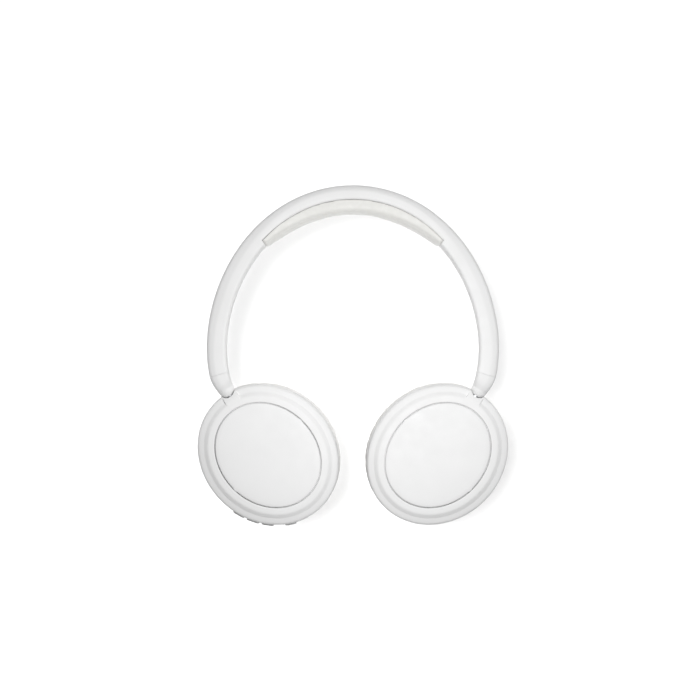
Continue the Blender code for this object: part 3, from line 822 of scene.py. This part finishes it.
class Finish:
    """A Principled material with its nodes close at hand."""

    def __init__(self, name, colour, roughness, metallic=0.0):
        self.material = bpy.data.materials.new(name)
        self.material.use_nodes = True
        self.nodes = self.material.node_tree.nodes
        self.links = self.material.node_tree.links
        self.shader = self.nodes["Principled BSDF"]
        self.shader.inputs["Base Color"].default_value = (*colour, 1)
        self.shader.inputs["Roughness"].default_value = roughness
        self.shader.inputs["Metallic"].default_value = metallic
        self.colour = colour
        self.place = self.nodes.new("ShaderNodeTexCoord").outputs["Object"]

    def noise(self, scale, detail=3, stretch=None):
        """A noise pattern in the object's own space."""
        node = self.nodes.new("ShaderNodeTexNoise")
        node.inputs["Scale"].default_value = scale
        node.inputs["Detail"].default_value = detail
        source = self.place
        if stretch:
            mapping = self.nodes.new("ShaderNodeMapping")
            mapping.inputs["Scale"].default_value = stretch
            self.links.new(source, mapping.inputs["Vector"])
            source = mapping.outputs["Vector"]
        self.links.new(source, node.inputs["Vector"])
        return node.outputs["Fac"]

    def cells(self, scale, feature="F1"):
        """A pattern of cells, for leather grain."""
        node = self.nodes.new("ShaderNodeTexVoronoi")
        node.feature = feature
        node.inputs["Scale"].default_value = scale
        self.links.new(self.place, node.inputs["Vector"])
        return node.outputs["Distance"]

    def stripes(self, scale, direction):
        """Even ribs across one direction."""
        node = self.nodes.new("ShaderNodeTexWave")
        node.bands_direction = direction
        node.inputs["Scale"].default_value = scale
        self.links.new(self.place, node.inputs["Vector"])
        return node.outputs["Fac"]

    def remap(self, value, low, high, start=0.35, stop=0.65):
        """The pattern's range, from start to stop, spread over low to high."""
        node = self.nodes.new("ShaderNodeMapRange")
        node.inputs["From Min"].default_value = start
        node.inputs["From Max"].default_value = stop
        node.inputs["To Min"].default_value = low
        node.inputs["To Max"].default_value = high
        self.links.new(value, node.inputs["Value"])
        return node.outputs["Result"]

    def maths(self, operation, a, b):
        """Two patterns, or a pattern and a number, put together."""
        node = self.nodes.new("ShaderNodeMath")
        node.operation = operation
        self.links.new(a, node.inputs[0])
        if isinstance(b, (int, float)):
            node.inputs[1].default_value = b
        else:
            self.links.new(b, node.inputs[1])
        return node.outputs[0]

    def tint(self, pattern, other):
        """The base colour, mixed towards another by a pattern."""
        node = self.nodes.new("ShaderNodeMix")
        node.data_type = "RGBA"
        node.inputs[6].default_value = (*self.colour, 1)
        node.inputs[7].default_value = (*other, 1)
        self.links.new(pattern, node.inputs[0])
        self.links.new(node.outputs[2], self.shader.inputs["Base Color"])

    def vary_roughness(self, pattern, low, high):
        """Roughness that follows a pattern."""
        self.links.new(self.remap(pattern, low, high), self.shader.inputs["Roughness"])

    def relief(self, pattern, depth, strength=1.0):
        """Bumps of a depth in metres."""
        node = self.nodes.new("ShaderNodeBump")
        node.inputs["Strength"].default_value = strength
        node.inputs["Distance"].default_value = depth
        self.links.new(pattern, node.inputs["Height"])
        self.links.new(node.outputs["Normal"], self.shader.inputs["Normal"])


def moulded_plastic(name, colour, warm, roughness, texture):
    """Satin moulded plastic: fine spark-eroded texture and slight unevenness."""
    made = Finish(name, colour, roughness)
    flow_marks = made.noise(38, 2)
    spark = made.noise(5200, 4)
    made.tint(made.remap(flow_marks, 0.0, 0.6), warm)
    made.vary_roughness(made.noise(160, 4), roughness - 0.05, roughness + 0.06)
    made.relief(spark, texture)
    made.shader.inputs["IOR"].default_value = 1.49
    return made.material


def leatherette(name, colour, shade):
    """Soft coated cloth: pebbled grain with fine creases."""
    made = Finish(name, colour, 0.55)
    grain = made.cells(1500)
    creases = made.noise(420, 5)
    made.tint(made.remap(creases, 0.0, 0.7), shade)
    made.vary_roughness(made.noise(220, 3), 0.48, 0.64)
    both = made.maths("ADD", grain, made.maths("MULTIPLY", creases, 1.4))
    made.relief(both, 0.00006)
    made.shader.inputs["Sheen Weight"].default_value = 0.12
    made.shader.inputs["Sheen Roughness"].default_value = 0.5
    return made.material


def knitted_cloth(name, colour, light):
    """Acoustic cloth: ribs crossing at half a millimetre."""
    made = Finish(name, colour, 0.85)
    weave = made.maths("MULTIPLY", made.stripes(300, "X"), made.stripes(300, "Y"))
    made.tint(made.remap(weave, 0.0, 0.8, 0.1, 0.8), light)
    made.relief(weave, 0.00012)
    made.shader.inputs["Sheen Weight"].default_value = 0.3
    return made.material


def drawn_steel(name, colour, roughness):
    """Metal with fine lines along it."""
    made = Finish(name, colour, roughness, 1.0)
    lines = made.noise(90, 5, (40, 2, 40))
    made.vary_roughness(lines, roughness - 0.08, roughness + 0.12)
    made.relief(lines, 0.00001)
    return made.material


def solder_mask(name):
    """Green board with copper tracks showing through."""
    made = Finish(name, (0.03, 0.16, 0.07), 0.4)
    tracks = made.stripes(140, "DIAGONAL")
    made.tint(made.remap(tracks, 0.0, 1.0, 0.70, 0.74), (0.16, 0.34, 0.12))
    made.relief(tracks, 0.00003)
    return made.material


def foil(name):
    """Crinkled aluminium pouch."""
    made = Finish(name, (0.72, 0.73, 0.74), 0.32, 1.0)
    crinkles = made.noise(130, 5)
    made.vary_roughness(crinkles, 0.22, 0.42)
    made.relief(crinkles, 0.0002)
    return made.material


def clear_film(name):
    """Thin moulded film with faint rings of colour."""
    made = Finish(name, (0.80, 0.79, 0.70), 0.22)
    haze = made.noise(300, 4)
    made.tint(made.remap(haze, 0.0, 0.7), (0.66, 0.66, 0.60))
    made.relief(haze, 0.00002)
    return made.material


def sewing_thread(name):
    """Twisted white thread."""
    made = Finish(name, (0.83, 0.84, 0.83), 0.7)
    twist = made.stripes(900, "DIAGONAL")
    made.tint(made.remap(twist, 0.0, 0.6), (0.70, 0.71, 0.70))
    made.relief(twist, 0.00005)
    return made.material


# --- The room ------------------------------------------------------------------


def floor():
    """A plain pale sheet."""
    half = 2500.0
    corners = np.array([(-half, -half, 0), (half, -half, 0), (half, half, 0), (-half, half, 0)])
    mesh = bpy.data.meshes.new("floor")
    mesh.from_pydata(corners * MM, [], [(0, 1, 2, 3)])
    made = link("floor", mesh)
    paper = Finish("pale_floor", (0.97, 0.97, 0.97), 0.95)
    paper.shader.inputs["Specular IOR Level"].default_value = 0.1
    paper.vary_roughness(paper.noise(30, 2), 0.9, 1.0)
    mesh.materials.append(paper.material)


def lamp(name, kind, strength, size, position, target=(0.0, 0.0, 0.0)):
    """A soft lamp that points from its position to a target."""
    light = bpy.data.lights.new(name, kind)
    light.energy = strength
    if kind == "SUN":
        light.angle = np.radians(size)
    else:
        light.shape = "DISK"
        light.size = size
    made = bpy.data.objects.new(name, light)
    made.location = position
    aim = Vector(target) - Vector(position)
    made.rotation_euler = aim.to_track_quat("-Z", "Y").to_euler()
    bpy.context.collection.objects.link(made)
    return made


def light_only(lights, name, state):
    """Let lamps light only the floor (INCLUDE) or everything but it (EXCLUDE)."""
    linked = bpy.data.collections.new(name)
    linked.objects.link(bpy.data.objects["floor"])
    linked.collection_objects[0].light_linking.link_state = state
    for light in lights:
        light.light_linking.receiver_collection = linked


def studio():
    """A pale surround, lamps for the headphones and separate lamps for the floor.

    The fill on the floor casts no shadow, so the wash's soft shadow stays pale.
    """
    world = bpy.data.worlds.new("surround")
    world.use_nodes = True
    shade = world.node_tree.nodes["Background"].inputs
    shade["Color"].default_value = (1, 1, 1, 1)
    shade["Strength"].default_value = SKY
    bpy.context.scene.world = world
    key = lamp("key", "AREA", KEY_POWER, LAMP_SIZE, KEY_AT, (0.0, -0.02, 0.03))
    side = lamp("side", "AREA", SIDE_POWER, LAMP_SIZE, SIDE_AT, (-0.03, -0.04, 0.03))
    crown = lamp("crown", "SUN", CROWN_POWER, 30, (0.0, 1.0, 0.9))
    wash = lamp("wash", "SUN", WASH_POWER, 20, (-0.28, 0.12, 1.0))
    overhead = lamp("overhead", "SUN", OVERHEAD_POWER, 3, (0.0, 0.0, 1.0))
    overhead.data.use_shadow = False
    light_only((wash, overhead), "only_the_sheet", "INCLUDE")
    light_only((key, side, crown), "not_the_sheet", "EXCLUDE")


def camera():
    """Straight above, with the headband's crown away from the viewer."""
    height, above_mouldings = 0.95, 0.915
    seen = 0.3906
    lens = bpy.data.cameras.new("camera")
    lens.sensor_width = 36
    lens.lens = 36 * above_mouldings / seen
    made = bpy.data.objects.new("camera", lens)
    made.location = (-0.0016, 0.0035, height)
    bpy.context.collection.objects.link(made)
    bpy.context.scene.camera = made


# --- Assembly ------------------------------------------------------------------


def place(made, body, slot, material, *nodes):
    """A finished piece: its material, its body and the nodes that it stands for."""
    made.data.materials.clear()
    made.data.materials.append(material)
    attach(made, body)
    if nodes:
        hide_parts(*nodes)
    return made


def dress(node, material):
    """Give a node that stays as it is a better material."""
    for slot in frame["nodes"][node].material_slots:
        slot.material = material


def build():
    """Make every piece and every finish."""
    bright, off_white = (0.805, 0.805, 0.805), (0.78, 0.78, 0.775)
    white = moulded_plastic("satin_white_plastic", bright, off_white, 0.60, 0.000012)
    pale, duller = (0.80, 0.80, 0.80), (0.785, 0.785, 0.785)
    cap = moulded_plastic("cap_white_plastic", pale, duller, 0.58, 0.000008)
    grey, dark_grey = (0.62, 0.63, 0.63), (0.56, 0.57, 0.57)
    inner = moulded_plastic("inner_grey_plastic", grey, dark_grey, 0.5, 0.00002)
    pads = leatherette("white_leatherette", (0.775, 0.77, 0.755), (0.74, 0.735, 0.72))
    crown = leatherette("crown_leatherette", (0.765, 0.76, 0.735), (0.73, 0.725, 0.70))
    cloth = knitted_cloth("driver_cloth", (0.10, 0.10, 0.105), (0.26, 0.265, 0.27))
    steel = drawn_steel("drawn_steel", (0.62, 0.63, 0.65), 0.3)
    board = solder_mask("solder_mask")
    pouch = foil("battery_foil")
    film = clear_film("clear_film")
    thread = sewing_thread("sewing_thread")

    place(headband_shell(), "headband", "white_plastic", white, "headband_shell")
    place(headband_liner(), "headband", "white_plastic", white, "headband_liner")
    cushion = place(headband_cushion(), "headband", "leatherette", crown, "headband_cushion")

    for name, side in SIDES:
        body = name + "_cup"
        place(arm_end(name, side), name + "_arm", "white_plastic", white, name + "_arm_end")
        place(cup_shell(name, side), body, "white_plastic", white, name + "_cup_shell")
        place(cup_cap(name, side), body, "cap", cap, name + "_cup_cap")
        place(pad_ring(name, side), body, "inner_plastic", inner, name + "_pad_ring")
        place(driver_cover(name, side), body, "driver_cloth", cloth, name + "_driver_cover")
        pad = place(ear_pad(name, side), body, "leatherette", pads, name + "_ear_pad")
        place(pad_stitches(name, side), body, "leatherette", thread)

    for label, (first, last) in BUTTONS.items():
        node = "left_" + label
        place(button(label, first, last), node, "white_plastic", white, node)
    place(charging_socket(), "left_cup", "steel", steel, "left_charging_socket")

    finishes = {
        "steel": steel,
        "inner_plastic": inner,
        "film": film,
        "circuit_board": board,
        "battery_foil": pouch,
        "white_plastic": white,
    }
    for part in frame["record"]["subparts"]:
        if part["material_slot"] in finishes:
            dress(part["node"], finishes[part["material_slot"]])


build()
floor()
studio()
camera()
bpy.context.scene.view_settings.view_transform = "Standard"
